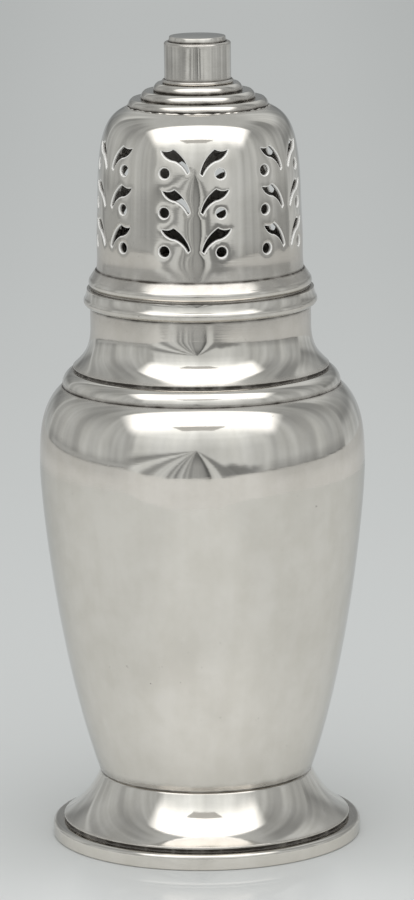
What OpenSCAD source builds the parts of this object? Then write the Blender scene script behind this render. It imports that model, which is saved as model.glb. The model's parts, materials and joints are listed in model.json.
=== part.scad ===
// Sugar caster: a silver vessel on a flared foot, with a pierced cover that pulls off.
// Millimetres, +Z up. The origin is the middle of the face that the foot stands on.
// Every piece is turned about Z, so each one is drawn as a half section (radius, height).

/* [Metal] */
// Thickness of the sheet that the foot, body and neck are made from
vessel_wall = 0.9; // [0.7:0.05:1.2]
// Thickness of the sheet that the dome is made from
cover_wall = 0.8; // [0.6:0.05:1.1]
// Gap that the solder fills round a wire, a sleeve or a tenon
solder_gap = 0.05; // [0.02:0.01:0.1]
// Radial gap between the cover's sleeve and the bore of the neck
sleeve_gap = 0.15; // [0.05:0.01:0.2]
// Radius that polishing leaves on a sharp edge
polish_r = 0.12; // [0.05:0.01:0.2]

/* [Foot rim] */
// Radius of the upright band that the caster stands on
rim_r = 32.7; // [31.5:0.1:36]
// Width of the rim, from its open middle to the band's face
rim_w = 5.7; // [4.5:0.1:9]
// Height of the upright band
rim_band_h = 2.4; // [1.5:0.1:4]
// Radius of the rounded edge over the band
rim_edge_r = 0.9; // [0.4:0.1:1.2]
// Height of the groove between the rim and the flare
rim_groove_h = 0.65; // [0.3:0.05:1.2]
// Depth of that groove, in from the flare's lip
rim_groove_d = 0.5; // [0.2:0.05:0.9]

/* [Foot] */
// How far the flare's lip stands in from the band's face
flare_lip_in = 2.35; // [1.2:0.05:3]
// Height of the lip's upright edge
flare_lip_h = 0.4; // [0.2:0.05:1]
// Height of the hollow flare, from its lip to the waist
flare_h = 9.65; // [7:0.05:14]
// How far the flare bows in from a straight line
flare_hollow = 0.96; // [0.4:0.02:1.6]
// Radius of the waist, where the foot meets the body
waist_r = 22.5; // [20.5:0.1:24]
// Radius of the rounded edge at the waist
waist_edge_r = 0.35; // [0.15:0.05:0.6]
// Width of the flat ring on top of the foot that carries the body
foot_seat_w = 6; // [3:0.1:12]
// Width of the flat ring under the lip that stands on the rim
lip_seat_w = 2.2; // [1.2:0.1:3]

/* [Body] */
// How far the body's bottom edge stands out past the waist
bottom_out = 0.05; // [-0.5:0.05:1]
// Radius of the rounded edge round the bottom
bottom_edge_r = 0.4; // [0.2:0.05:0.8]
// Thickness of the bottom
bottom_t = 1.1; // [0.8:0.05:1.6]
// Radius of the belly, the widest part
belly_r = 34.2; // [30.5:0.1:40]
// Height from the bottom to the belly
flank_h = 65.8; // [50:0.1:90]
// Lean of the flank at the bottom, in degrees out from upright
flank_lean = 19.3; // [8:0.1:26]
// Pull of the flank's curve at the bottom
flank_pull_low = 24.9; // [12:0.1:34]
// Pull of the flank's curve below the belly
flank_pull_high = 7.5; // [4:0.1:20]
// Height from the belly to the top of the shoulder
shoulder_h = 17.2; // [13:0.1:26]
// Radius at the top of the shoulder
shoulder_r = 29; // [28.2:0.1:31]
// Lean of the shoulder at its top, in degrees in from upright
shoulder_lean = 53.9; // [40:0.1:65]
// Pull of the shoulder's curve above the belly
shoulder_pull_low = 5.2; // [3:0.1:9]
// Pull of the shoulder's curve at its top
shoulder_pull_high = 6.6; // [3:0.1:8]
// Width of the flat land round the opening in the top of the body
shoulder_land_w = 2.6; // [1.5:0.1:3.8]

/* [Shoulder ring] */
// How far the moulding's foot stands out past the top of the shoulder
moulding_out = 0.2; // [0:0.05:1]
// How far the moulding's top stands in from its foot
moulding_in = 2; // [1.4:0.05:2.2]
// Height of the moulding
moulding_h = 3.2; // [2.2:0.1:5]
// How far the moulding's face bulges from a straight line
moulding_bulge = 0.5; // [0.2:0.05:0.9]
// Height of the moulding's upright foot
moulding_foot_h = 0.35; // [0.15:0.05:0.8]
// Width of the moulding, from the opening through it to its foot
moulding_w = 4; // [3.8:0.1:5.2]
// Height of the groove between the moulding and the neck
neck_groove_h = 0.7; // [0.3:0.05:1.2]
// Depth of that groove, in from the neck's lip
neck_groove_d = 0.4; // [0.2:0.05:0.6]

/* [Neck] */
// How far the neck's lip stands in from the moulding's top
neck_lip_in = 0.35; // [0.2:0.05:1]
// Height of the lip's upright edge
neck_lip_h = 0.15; // [0.1:0.05:0.6]
// Radius of the neck's face at its mouth
neck_r = 23.2; // [22.8:0.05:24]
// How far the neck's waist stands in from that face
neck_waist_in = 0.08; // [0.05:0.01:0.3]
// Height of the hollow part of the neck, up to its waist
neck_hollow_h = 7.45; // [6:0.05:12]
// Height from the waist to the mouth
neck_upper_h = 8.9; // [6:0.1:14]

/* [Neck ring] */
// How far the bead stands out from the neck
neck_bead_out = 1.25; // [0.8:0.05:1.8]
// Section radius of the bead
neck_bead_r = 1.15; // [0.9:0.05:1.6]
// How far the reed above the bead stands out from the neck
neck_reed_out = 1; // [0.4:0.05:1.3]
// Section radius of the reed
neck_reed_r = 0.7; // [0.4:0.05:0.9]
// Thickness of the band that carries the bead and the reed
neck_band_t = 0.3; // [0.2:0.05:0.4]

/* [Cover ring] */
// How far the edge of the seat under the cover ring stands in from the neck's face
cover_seat_in = 0.3; // [0.1:0.05:0.6]
// How far the cover ring's bead stands out past the neck's face
cover_bead_out = 0.15; // [-0.2:0.05:0.6]
// Section radius of the bead
cover_bead_r = 1.4; // [1.1:0.05:1.6]
// How far the reed above the bead stands in from the neck's face
cover_reed_in = 0.85; // [0.6:0.05:0.95]
// Section radius of the reed
cover_reed_r = 0.65; // [0.4:0.05:0.9]
// Thickness of the band that carries the bead and the reed
cover_band_t = 0.12; // [0.08:0.01:0.2]
// Thickness of the flange that the dome stands on
cover_flange_t = 0.8; // [0.5:0.05:1]

/* [Sleeve] */
// Thickness of the sleeve's sheet
sleeve_wall = 0.7; // [0.5:0.05:1]
// Depth that the sleeve reaches below the mouth
sleeve_depth = 10.5; // [7:0.1:14]

/* [Dome] */
// How far the dome's foot stands in from the neck's face
dome_in = 1.45; // [1:0.05:1.8]
// How far the dome's wall leans in, from its foot to where it begins to close
wall_in = 0.55; // [0.3:0.05:1.3]
// Height of the wall
spring_h = 16.9; // [12:0.1:24]
// Height of the whole dome
dome_h = 34; // [31:0.1:42]
// Radius of the flat crown
crown_r = 14.7; // [13:0.1:16]
// Slope of the dome where it meets the crown, in degrees
crown_slope = 21.3; // [10:0.1:30]
// Pull of the dome's curve above the wall
dome_pull_low = 12.1; // [8:0.1:13]
// Pull of the dome's curve beside the crown
dome_pull_high = 4.8; // [3:0.1:6]

/* [Piercing] */
// Columns of leaves round the dome
columns = 6; // [4:1:6]
// Tiers of leaves in a column
tiers = 3; // [1:1:3]
// Turn of the front column, in degrees to the right
column_turn = -2; // [-30:0.5:30]
// Height of the lowest dots above the dome's foot
first_dot_h = 6.4; // [4:0.1:8]
// Height between tiers
tier_pitch = 8.05; // [6.5:0.05:8.5]
// Radius of a dot
dot_r = 1.08; // [0.6:0.02:1.3]
// Angle from the stem to the left dot
left_dot_angle = 18; // [13:0.1:19]
// Angle from the stem to the right dot
right_dot_angle = 14.3; // [13:0.1:19]
// Angle from the stem to the middle of a leaf
leaf_angle = 11.4; // [10.5:0.1:12.5]
// Height of a leaf's root below its dot
root_drop = 0.2; // [-0.5:0.05:0.8]
// Width of a leaf, from its root to its tip
leaf_w = 6; // [4:0.1:6.6]
// Height of a leaf, from its root to its cusp
leaf_h = 5.1; // [3.6:0.1:5.8]
// How far the cusp stands outside the middle of the leaf
cusp_x = 0.35; // [-0.4:0.05:0.8]
// How far the tip hangs below the cusp
tip_drop = 0.25; // [0:0.05:0.8]
// How far the belly stands outside the middle of the leaf
belly_x = 0.2; // [-0.4:0.05:0.6]
// Height of the belly above the root
belly_h = 2.75; // [1.8:0.05:3.2]
// Width of the leaf's tail at its root
tail_w = 0.42; // [0.3:0.02:0.7]
// How far the leaf's back bows out, from its root to its cusp
back_bow = 0.55; // [0.2:0.05:0.8]
// How far the edge between the cusp and the tip is scooped in
scoop_bow = 0.35; // [0.1:0.05:0.6]
// How far the leaf's belly bows out, from its tip
belly_bow = 0.5; // [0.2:0.05:0.8]
// How far the tail bows in, from the belly to the root
tail_bow = 0.4; // [0.1:0.05:0.6]

/* [Steps] */
// How far the lower step stands in from the edge of the crown
crown_land_w = 0.1; // [0:0.05:0.5]
// Width of the tread that each step leaves round the one above it
tread_w = 2.65; // [2:0.05:2.8]
// Height of each step
step_h = 1.6; // [1.2:0.05:2.4]
// Radius of a step's upper edge
step_edge_r = 0.75; // [0.3:0.05:0.8]
// Radius of a step's lower edge
step_foot_r = 0.3; // [0.1:0.05:0.35]

/* [Finial] */
// Radius of the finial's post
post_r = 6.95; // [5.8:0.05:7.8]
// Height of the post above the upper step
post_h = 8.6; // [6:0.1:14]
// Radius of the rounded edge on top of the post
post_edge_r = 0.5; // [0.2:0.05:0.8]
// How far the bead at the post's foot stands out
post_foot_out = 0.5; // [0.2:0.05:0.7]
// Section radius of that bead
post_foot_r = 0.4; // [0.25:0.05:0.8]
// Radius of the tenon under the post
tenon_r = 2.5; // [1.5:0.1:4]
// Length of the tenon that stands through the crown
tenon_end = 0.6; // [0.2:0.05:1.2]
// How far the disc on top of the finial stands in from the post's face
disc_in = 0.95; // [0.5:0.05:2]
// Height of the disc
disc_h = 1.1; // [0.6:0.05:2]
// Radius of the disc's upper edge
disc_edge_r = 0.4; // [0.1:0.05:0.5]

/* [Hidden] */
silver = [0.79, 0.78, 0.75];
worn_silver = [0.73, 0.72, 0.69];
$fn = 96;

// Straight pieces in a long curve, in a short one and along an edge of a leaf
long_steps = 16;
short_steps = 8;
leaf_steps = 4;
// Extra length that carries a cut clear of the metal
cut = 1;
// Steps between the crown and the finial
step_count = 3;

// Heights of the seats, from the table upward
rim_top = rim_band_h + rim_edge_r;
rim_seat = rim_top + rim_groove_h;
flare_foot = rim_seat + flare_lip_h;
foot_top = flare_foot + flare_h;
belly_z = foot_top + flank_h;
shoulder_top = belly_z + shoulder_h;
moulding_top = shoulder_top + moulding_h;
neck_seat = moulding_top + neck_groove_h;
neck_foot = neck_seat + neck_lip_h;
neck_spring = neck_foot + neck_hollow_h;
mouth = neck_spring + neck_upper_h;
neck_ring_foot = mouth - 2 * (neck_bead_r + neck_reed_r);
cover_bead_z = mouth + cover_bead_r;
cover_reed_z = cover_bead_z + cover_bead_r + cover_reed_r;
dome_foot = cover_reed_z + cover_reed_r;
crown = dome_foot + dome_h;
post_foot = crown + step_count * step_h;
post_top = post_foot + post_h;
disc_top = post_top + disc_h;

// Radii that one piece takes from another
rim_bore_r = rim_r - rim_w;
flare_lip_r = rim_r - flare_lip_in;
bottom_r = waist_r + bottom_out;
opening_r = shoulder_r - shoulder_land_w;
moulding_r = shoulder_r + moulding_out;
moulding_top_r = moulding_r - moulding_in;
moulding_bore_r = moulding_r - moulding_w;
neck_lip_r = moulding_top_r - neck_lip_in;
neck_waist_r = neck_r - neck_waist_in;
neck_bore_r = neck_waist_r - vessel_wall;
sleeve_r = neck_bore_r - sleeve_gap;
neck_ring_bore_r = neck_r + solder_gap;
cover_ring_bore_r = sleeve_r + solder_gap;
cover_seat_r = neck_r - cover_seat_in;
cover_band_r = cover_ring_bore_r + cover_band_t;
cover_reed_face_r = neck_r - cover_reed_in;
dome_r = neck_r - dome_in;
spring_r = dome_r - wall_in;
dome_bore_r = dome_r - cover_wall;
tenon_hole_r = tenon_r + solder_gap;
disc_r = post_r - disc_in;

// Points on a round arc about a centre, between two angles
function arc(centre, radius, from, to, steps = short_steps) =
    [for (i = [0:steps]) let (a = from + (to - from) * i / steps) centre + radius * [cos(a), sin(a)]];

// Points on a round arc from a to b that rises to the left of the straight line
function bow(a, b, rise, steps = short_steps) =
    let (half = norm(b - a) / 2,
         along = (b - a) / norm(b - a),
         left = [-along.y, along.x],
         turn = 2 * atan(rise / half),
         radius = half / sin(turn))
    [for (i = [0:steps]) let (t = turn * (2 * i / steps - 1))
        (a + b) / 2 + along * radius * sin(t) + left * radius * (cos(t) - cos(turn))];

// Radius of an arc that leaves an upright line and goes so far out over so much height
function leaving_r(out, height) = (out * out + height * height) / (2 * out);

// Points on a smooth curve from a to b, with the two pulls that shape its ends
function curve(a, pull_a, pull_b, b, steps = long_steps) =
    [for (i = [0:steps]) let (t = i / steps, u = 1 - t)
        u * u * u * a + 3 * u * u * t * (a + pull_a) + 3 * u * t * t * (b + pull_b) + t * t * t * b];

// All the points but the first, to carry a line on from its last point
function after(points) = [for (i = [1:len(points) - 1]) points[i]];

// The inner face of a wall whose outer face runs upward through these points
function inset(points, wall) =
    [for (i = [0:len(points) - 1])
        let (run = points[min(i + 1, len(points) - 1)] - points[max(i - 1, 0)])
        points[i] + wall * [-run.y, run.x] / norm(run)];

// The whole area between a profile that runs upward and the axis
function to_axis(points) =
    concat([[0, points[0].y]], points, [[0, points[len(points) - 1].y]]);

flare_face = bow([flare_lip_r, flare_foot], [waist_r, foot_top - waist_edge_r], flare_hollow, long_steps);
flank_face = curve([bottom_r, foot_top + bottom_edge_r],
    flank_pull_low * [sin(flank_lean), cos(flank_lean)], [0, -flank_pull_high], [belly_r, belly_z]);
shoulder_face = curve([belly_r, belly_z], [0, shoulder_pull_low],
    shoulder_pull_high * [sin(shoulder_lean), -cos(shoulder_lean)], [shoulder_r, shoulder_top]);
body_face = concat(flank_face, after(shoulder_face));
neck_sweep_r = leaving_r(neck_lip_r - neck_waist_r, neck_hollow_h);
neck_hollow = arc([neck_waist_r + neck_sweep_r, neck_spring], neck_sweep_r,
    180 + asin(neck_hollow_h / neck_sweep_r), 180, long_steps);
neck_rise = neck_ring_foot - neck_spring;
neck_flare_r = leaving_r(neck_waist_in, neck_rise);
neck_flare = arc([neck_waist_r + neck_flare_r, neck_spring], neck_flare_r,
    180, 180 - asin(neck_rise / neck_flare_r));
wall_lean = atan((dome_r - spring_r) / spring_h);
dome_face = curve([spring_r, dome_foot + spring_h], dome_pull_low * [-sin(wall_lean), cos(wall_lean)],
    dome_pull_high * [cos(crown_slope), -sin(crown_slope)], [crown_r, crown]);

// A disc section with rounded edges, from a bore out to a rim
module disc_section(bore, outer, low, high, low_edge, high_edge) {
    band(bore, outer, low + low_edge, high - high_edge);
    band(bore, outer - low_edge, low, low + low_edge);
    band(bore, outer - high_edge, high - high_edge, high);
    translate([outer - low_edge, low + low_edge]) circle(low_edge);
    translate([outer - high_edge, high - high_edge]) circle(high_edge);
}

// A band between two heights and two radii
module band(inner, outer, low, high) {
    translate([inner, low]) square([outer - inner, high - low]);
}

// The part of a round bead's section that stands outside a bore
module bead_section(bore, outer, section_r, z) {
    intersection() {
        translate([outer - section_r, z]) circle(section_r);
        band(bore, outer + cut, z - section_r, z + section_r);
    }
}

module foot_rim() {
    color(silver) rotate_extrude() {
        disc_section(rim_bore_r, rim_r, 0, rim_top, polish_r, rim_edge_r);
        band(rim_bore_r, flare_lip_r - rim_groove_d, rim_top, rim_seat);
    }
}

module foot() {
    seat_r = waist_r - waist_edge_r - foot_seat_w;
    color(silver) rotate_extrude() difference() {
        polygon(to_axis(concat([[flare_lip_r, rim_seat]], flare_face,
            after(arc([waist_r - waist_edge_r, foot_top - waist_edge_r], waist_edge_r, 0, 90)))));
        intersection() {
            polygon(to_axis(concat([[flare_lip_r, rim_seat - cut]], inset(flare_face, vessel_wall),
                [[waist_r - vessel_wall, foot_top]])));
            band(0, flare_lip_r - lip_seat_w, rim_seat - cut, foot_top - vessel_wall);
        }
        band(0, seat_r, rim_seat - cut, foot_top + cut);
    }
}

module body() {
    color(silver) rotate_extrude() difference() {
        polygon(to_axis(concat(
            arc([bottom_r - bottom_edge_r, foot_top + bottom_edge_r], bottom_edge_r, -90, 0),
            after(body_face))));
        intersection() {
            polygon(to_axis(inset(body_face, vessel_wall)));
            band(0, belly_r, foot_top + bottom_t, shoulder_top - vessel_wall);
        }
        band(0, opening_r, belly_z, shoulder_top + cut);
    }
}

module shoulder_ring() {
    foot_edge = [moulding_r, shoulder_top + moulding_foot_h];
    color(silver) rotate_extrude() {
        polygon(concat([[moulding_bore_r, shoulder_top], [moulding_r, shoulder_top]],
            bow(foot_edge, [moulding_top_r, moulding_top], -moulding_bulge),
            [[moulding_bore_r, moulding_top]]));
        band(moulding_bore_r, neck_lip_r - neck_groove_d, moulding_top, neck_seat);
    }
}

module neck() {
    color(silver) rotate_extrude() difference() {
        polygon(to_axis(concat([[neck_lip_r, neck_seat]], neck_hollow, after(neck_flare),
            [[neck_r, mouth]])));
        polygon(to_axis(concat([[neck_lip_r - vessel_wall, neck_seat - cut]],
            inset(neck_hollow, vessel_wall), [[neck_bore_r, mouth + cut]])));
    }
}

module neck_ring() {
    reed_z = mouth - neck_reed_r;
    bead_z = neck_ring_foot + neck_bead_r;
    color(silver) rotate_extrude() {
        bead_section(neck_ring_bore_r, neck_r + neck_reed_out, neck_reed_r, reed_z);
        bead_section(neck_ring_bore_r, neck_r + neck_bead_out, neck_bead_r, bead_z);
        band(neck_ring_bore_r, neck_ring_bore_r + neck_band_t, neck_ring_foot, mouth);
    }
}

module cover_sleeve() {
    color(worn_silver) rotate_extrude()
        band(sleeve_r - sleeve_wall, sleeve_r, mouth - sleeve_depth, dome_foot - cover_flange_t);
}

module cover_ring() {
    color(silver) rotate_extrude() {
        bead_section(cover_ring_bore_r, neck_r + cover_bead_out, cover_bead_r, cover_bead_z);
        bead_section(cover_ring_bore_r, cover_reed_face_r, cover_reed_r, cover_reed_z);
        disc_section(cover_ring_bore_r, cover_seat_r, mouth, cover_bead_z, polish_r, polish_r);
        band(cover_ring_bore_r, cover_band_r, cover_bead_z, dome_foot);
        band(dome_bore_r, cover_ring_bore_r + solder_gap, dome_foot - cover_flange_t, dome_foot);
    }
}

// One leaf, drawn flat: its root at the lower left, its tip at the upper right
module leaf() {
    root_in = [-leaf_w / 2, tail_w];
    root_out = [-leaf_w / 2 + tail_w, 0];
    cusp = [cusp_x, leaf_h];
    tip = [leaf_w / 2, leaf_h - tip_drop];
    belly = [belly_x, belly_h];
    polygon(concat(
        bow(root_in, cusp, back_bow, leaf_steps),
        after(bow(cusp, tip, -scoop_bow, leaf_steps)),
        after(bow(tip, belly, belly_bow, leaf_steps)),
        after(bow(belly, root_out, -tail_bow, leaf_steps))));
}

// A hole through the dome's wall, at an angle to the right of the front and at a height
module pierce(angle, z) {
    rotate([0, 0, angle]) translate([0, -crown_r - cut, z]) rotate([90, 0, 0])
        linear_extrude(dome_r - crown_r) children();
}

// A pair of leaves and a pair of dots on one stem
module spray(angle, z) {
    pierce(angle + leaf_angle, z - root_drop) leaf();
    pierce(angle - leaf_angle, z - root_drop) mirror([1, 0]) leaf();
    pierce(angle + right_dot_angle, z) circle(dot_r, $fn = 24);
    pierce(angle - left_dot_angle, z) circle(dot_r, $fn = 24);
}

module dome_shell() {
    rotate_extrude() difference() {
        polygon(to_axis(concat([[dome_r, dome_foot]], dome_face)));
        intersection() {
            polygon(to_axis(concat([[dome_bore_r, dome_foot - cut]], inset(dome_face, cover_wall))));
            band(0, dome_r, dome_foot - cut, crown - cover_wall);
        }
        band(0, tenon_hole_r, dome_foot, crown + cut);
    }
}

module dome() {
    color(silver) difference() {
        dome_shell();
        for (column = [0:columns - 1], tier = [0:tiers - 1])
            spray(column_turn + column * 360 / columns, dome_foot + first_dot_h + tier * tier_pitch);
    }
}

// One of the discs that step up to the finial
module step(level) {
    low = crown + level * step_h;
    radius = crown_r - crown_land_w - level * tread_w;
    color(silver) rotate_extrude()
        disc_section(tenon_hole_r, radius, low, low + step_h, step_foot_r, step_edge_r);
}

module lower_step() {
    step(0);
}

module middle_step() {
    step(1);
}

module upper_step() {
    step(2);
}

module finial_post() {
    color(worn_silver) rotate_extrude() {
        disc_section(0, post_r, post_foot, post_top, polish_r, post_edge_r);
        bead_section(0, post_r + post_foot_out, post_foot_r, post_foot + post_foot_r);
        band(0, tenon_r, crown - cover_wall - tenon_end, post_foot);
    }
}

module finial_disc() {
    color(silver) rotate_extrude() disc_section(0, disc_r, post_top, disc_top, polish_r, disc_edge_r);
}

foot_rim();
foot();
body();
shoulder_ring();
neck();
neck_ring();
cover_sleeve();
cover_ring();
dome();
lower_step();
middle_step();
upper_step();
finial_post();
finial_disc();
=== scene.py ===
import bisect
import json
import math
import random

import bmesh
import bpy
from mathutils import Euler, Matrix, Vector
from mathutils.geometry import delaunay_2d_cdt
from mathutils.kdtree import KDTree


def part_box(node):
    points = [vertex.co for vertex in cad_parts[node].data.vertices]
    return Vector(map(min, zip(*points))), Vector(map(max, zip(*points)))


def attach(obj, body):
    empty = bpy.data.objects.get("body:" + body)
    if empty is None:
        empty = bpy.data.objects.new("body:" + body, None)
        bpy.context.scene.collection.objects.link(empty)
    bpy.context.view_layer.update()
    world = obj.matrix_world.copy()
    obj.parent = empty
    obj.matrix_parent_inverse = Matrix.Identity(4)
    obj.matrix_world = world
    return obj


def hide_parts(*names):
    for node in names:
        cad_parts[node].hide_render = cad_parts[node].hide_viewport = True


# Sugar caster in polished silver, standing on a pale table inside a light tent.
# Every piece is turned about Z: its section is drawn in (radius, height) and swept round.
# Lengths are in metres and angles in degrees.

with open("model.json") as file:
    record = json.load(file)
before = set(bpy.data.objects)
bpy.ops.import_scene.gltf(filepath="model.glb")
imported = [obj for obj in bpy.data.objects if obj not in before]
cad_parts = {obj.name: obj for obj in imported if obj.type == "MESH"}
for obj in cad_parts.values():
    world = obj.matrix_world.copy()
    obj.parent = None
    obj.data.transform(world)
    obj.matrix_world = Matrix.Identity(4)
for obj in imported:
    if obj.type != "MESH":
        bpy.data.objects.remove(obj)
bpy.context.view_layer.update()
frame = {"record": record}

MM = 0.001
SEGMENTS = 192
AXIS_R = 0.001 * MM
SHARP_ANGLE = 32


def radius(node):
    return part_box(node)[1].x


def bottom(node):
    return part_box(node)[0].z


def top(node):
    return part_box(node)[1].z


# Sheet, solder and edges
VESSEL_WALL = 0.9 * MM
COVER_WALL = 0.8 * MM
SOLDER_GAP = 0.05 * MM
POLISH_R = 0.12 * MM

# Foot rim and foot
RIM_R = radius("foot_rim")
RIM_W = 5.7 * MM
RIM_EDGE_R = 0.9 * MM
RIM_FOOT_R = 0.4 * MM
RIM_GROOVE_H = 0.65 * MM
RIM_GROOVE_D = 0.5 * MM
RIM_SEAT = top("foot_rim")
RIM_TOP = RIM_SEAT - RIM_GROOVE_H
FLARE_LIP_R = radius("foot")
FLARE_LIP_H = 0.15 * MM
FLARE_LIP_ROUND = 0.3 * MM
FLARE_LIP_LEAN = 57
FLARE_PULL_LOW = 4.55 * MM
FLARE_PULL_HIGH = 4.7 * MM
LIP_SEAT_W = 2.2 * MM
FOOT_TOP = top("foot")
FOOT_SEAT_W = 6 * MM
WAIST_R = 22.5 * MM
WAIST_EDGE_R = 0.9 * MM
WAIST_LEAN = 25

# Body
BELLY_R = radius("body")
BELLY_Z = 79.8 * MM
BOTTOM_R = WAIST_R + SOLDER_GAP
BOTTOM_EDGE_R = 0.2 * MM
BOTTOM_T = 1.1 * MM
FLANK_LEAN = 19.3
FLANK_PULL_LOW = 24.9 * MM
FLANK_PULL_HIGH = 7.5 * MM
SHOULDER_TOP = top("body")
SHOULDER_R = 29 * MM
SHOULDER_LEAN = 53.9
SHOULDER_PULL_LOW = 5.2 * MM
SHOULDER_PULL_HIGH = 6.6 * MM
SHOULDER_LAND_W = 2.6 * MM

# Shoulder ring and neck
MOULDING_R = radius("shoulder_ring")
MOULDING_IN = 2 * MM
MOULDING_W = 4 * MM
MOULDING_BULGE = 0.5 * MM
MOULDING_FOOT_H = 0.35 * MM
NECK_SEAT = top("shoulder_ring")
NECK_GROOVE_H = 0.7 * MM
NECK_GROOVE_D = 0.4 * MM
MOULDING_TOP = NECK_SEAT - NECK_GROOVE_H
NECK_LIP_R = radius("neck")
NECK_LIP_H = 0.15 * MM
NECK_R = 23.2 * MM
NECK_WAIST_R = NECK_R - 0.08 * MM
NECK_HOLLOW_H = 8.5 * MM
NECK_LIP_LEAN = 46
NECK_PULL_LOW = 3 * MM
NECK_PULL_HIGH = 5 * MM
NECK_SPRING = NECK_SEAT + NECK_LIP_H + NECK_HOLLOW_H
MOUTH = top("neck")

# Neck ring, cover ring and sleeve
NECK_RING_FOOT = bottom("neck_ring")
NECK_BEAD_R = 1.15 * MM
NECK_BEAD_OUT_R = radius("neck_ring")
NECK_BAND_R = NECK_R + SOLDER_GAP + 0.3 * MM
NECK_COVE_FOOT_R = NECK_R + 0.98 * MM
NECK_COVE_R = NECK_R + 0.55 * MM
NECK_COVE_HOLLOW = 0.1 * MM
SLEEVE_R = radius("cover_sleeve")
SLEEVE_WALL = 0.7 * MM
COVER_SEAT_R = NECK_R - 0.3 * MM
COVER_BEAD_R = 1.4 * MM
COVER_BEAD_OUT_R = radius("cover_ring")
COVER_OVOLO_R = NECK_R - 0.26 * MM
COVER_OVOLO_BULGE = 0.05 * MM
COVER_FLANGE_T = 0.8 * MM

# Dome and its piercing
DOME_R = radius("dome")
DOME_FOOT = bottom("dome")
CROWN = top("dome")
SPRING_R = DOME_R - 0.55 * MM
SPRING_Z = DOME_FOOT + 16.9 * MM
CROWN_R = 14.7 * MM
CROWN_SLOPE = 21.3
DOME_PULL_LOW = 12.1 * MM
DOME_PULL_HIGH = 4.8 * MM
DOME_TUCK = 0.16 * MM
DOME_TUCK_Z = 2 * MM
DOME_TUCK_H = 3 * MM
COLUMNS = 6
TIERS = 3
COLUMN_TURN = -2
FIRST_DOT_Z = DOME_FOOT + 6.4 * MM
TIER_PITCH = 8.05 * MM
PIERCED_TOP = CROWN - 5 * MM
DOT_R = 1.08 * MM
LEFT_DOT_ANGLE = 18
RIGHT_DOT_ANGLE = 14.3
LEAF_ANGLE = 11.4
ROOT_DROP = 0.2 * MM
LEAF_W = 6 * MM
LEAF_H = 5.1 * MM
LEAF_CUSP_X = 0.35 * MM
LEAF_TIP_DROP = 0.25 * MM
LEAF_BELLY = Vector((0.2, 2.75)) * MM
LEAF_TAIL_W = 0.42 * MM
LEAF_BACK_BOW = 0.55 * MM
LEAF_SCOOP_BOW = 0.35 * MM
LEAF_BELLY_BOW = 0.5 * MM
LEAF_TAIL_BOW = 0.4 * MM
HOLE_EDGE = 0.3 * MM
HOLE_EDGE_STEPS = 4
HOLE_DIP = 3
HOLE_DIP_REACH = 0.6 * MM
HAND_SEED = 4
HAND_TURN = 1.5
HAND_SHIFT = 0.07 * MM
HAND_SIZE = 0.018
SHEET_COLUMNS = 48
SHEET_ROWS = 60
SHEET_CLEAR = 0.2 * MM
SKIN_FACING = 0.985

# Steps and finial
STEPS = ("lower_step", "middle_step", "upper_step")
STEP_FOOT_R = 0.3 * MM
STEP_SIDE_H = 0.05 * MM
STEP_SLOPE_W = 0.8 * MM
STEP_SLOPE_BULGE = 0.15 * MM
POST_R = 6.95 * MM
POST_TOP = top("finial_post")
POST_FOOT = top("upper_step")
POST_EDGE_R = 0.5 * MM
POST_FOOT_R = 0.4 * MM
TENON_R = 2.5 * MM
DISC_R = radius("finial_disc")
DISC_SIDE_H = 0.25 * MM
DISC_SIDE_IN = 0.14 * MM
DISC_EDGE_R = 0.2 * MM
STEP_SOLDER_R = 0.32 * MM
# The lumps in the solder line, as (waves round the step, share of its size, start)
STEP_SOLDER_LUMPS = [(13, 0.16, 1), (31, 0.14, 0), (43, 0.16, 2)]
STEP_SOLDER_MEAN = 0.55

# Tarnish where a polishing cloth doesn't reach, from 0 to 1, and how closely a line follows its seams, whose
# dark is partly painted shade
INSIDE_TARNISH = 0.35
DOME_INSIDE_TARNISH = 0.55
HOLE_EDGE_TARNISH = 0.1
SOLDER_TARNISH = 0.1
SEAM_STEP = 0.3 * MM
SEAM_FAINT = 0.02

# Silver
CLEAN_SILVER = (0.925, 0.882, 0.821, 1)
CLOUDED_SILVER = (0.855, 0.812, 0.744)
TARNISHED_SILVER = (0.055, 0.046, 0.037, 1)
# Painted highlight: the rounded rims of the holes get a matt white, not metal, for the bright lines they
# catch.
RIM_HIGHLIGHT_WHITE = (0.95, 0.94, 0.92, 1)
GRAZING_TINT = (0.80, 0.81, 0.82, 1)
TARNISHED_ROUGHNESS = 0.42
TARNISHED_METAL = 0.3
RIM_HIGHLIGHT_ROUGHNESS = 0.5
RIM_HIGHLIGHT_SHARE = 0.8

# Table, with the places of its painted pool of light and its gloss as (from, to, soft edge)
FLOOR_R = 6
TABLE_DARK = (0.600, 0.612, 0.606, 1)
TABLE_PALE = (0.622, 0.634, 0.628, 1)
# Painted light: the paler colour of a pool of light on the table in front of the foot.
TABLE_LIGHT_POOL = (0.69, 0.70, 0.695, 1)
# Painted shade: the table's colour darkens towards its sides.
TABLE_SIDE_SHADE = (0.568, 0.580, 0.574, 1)
TABLE_ROUGHNESS = 0.05
TABLE_GLOSS = 0.09
LIGHT_POOL_X = (-0.015, 0.015, 0.06)
LIGHT_POOL_Y = (-0.075, -0.055, 0.035)
LIGHT_POOL_SHARE = 0.9
SIDE_SHADE_X = (0.045, 0.12)
GLOSS_X = (-0.016, 0.016, 0.012)
GLOSS_Y = (-0.05, -0.036, 0.012)

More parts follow.
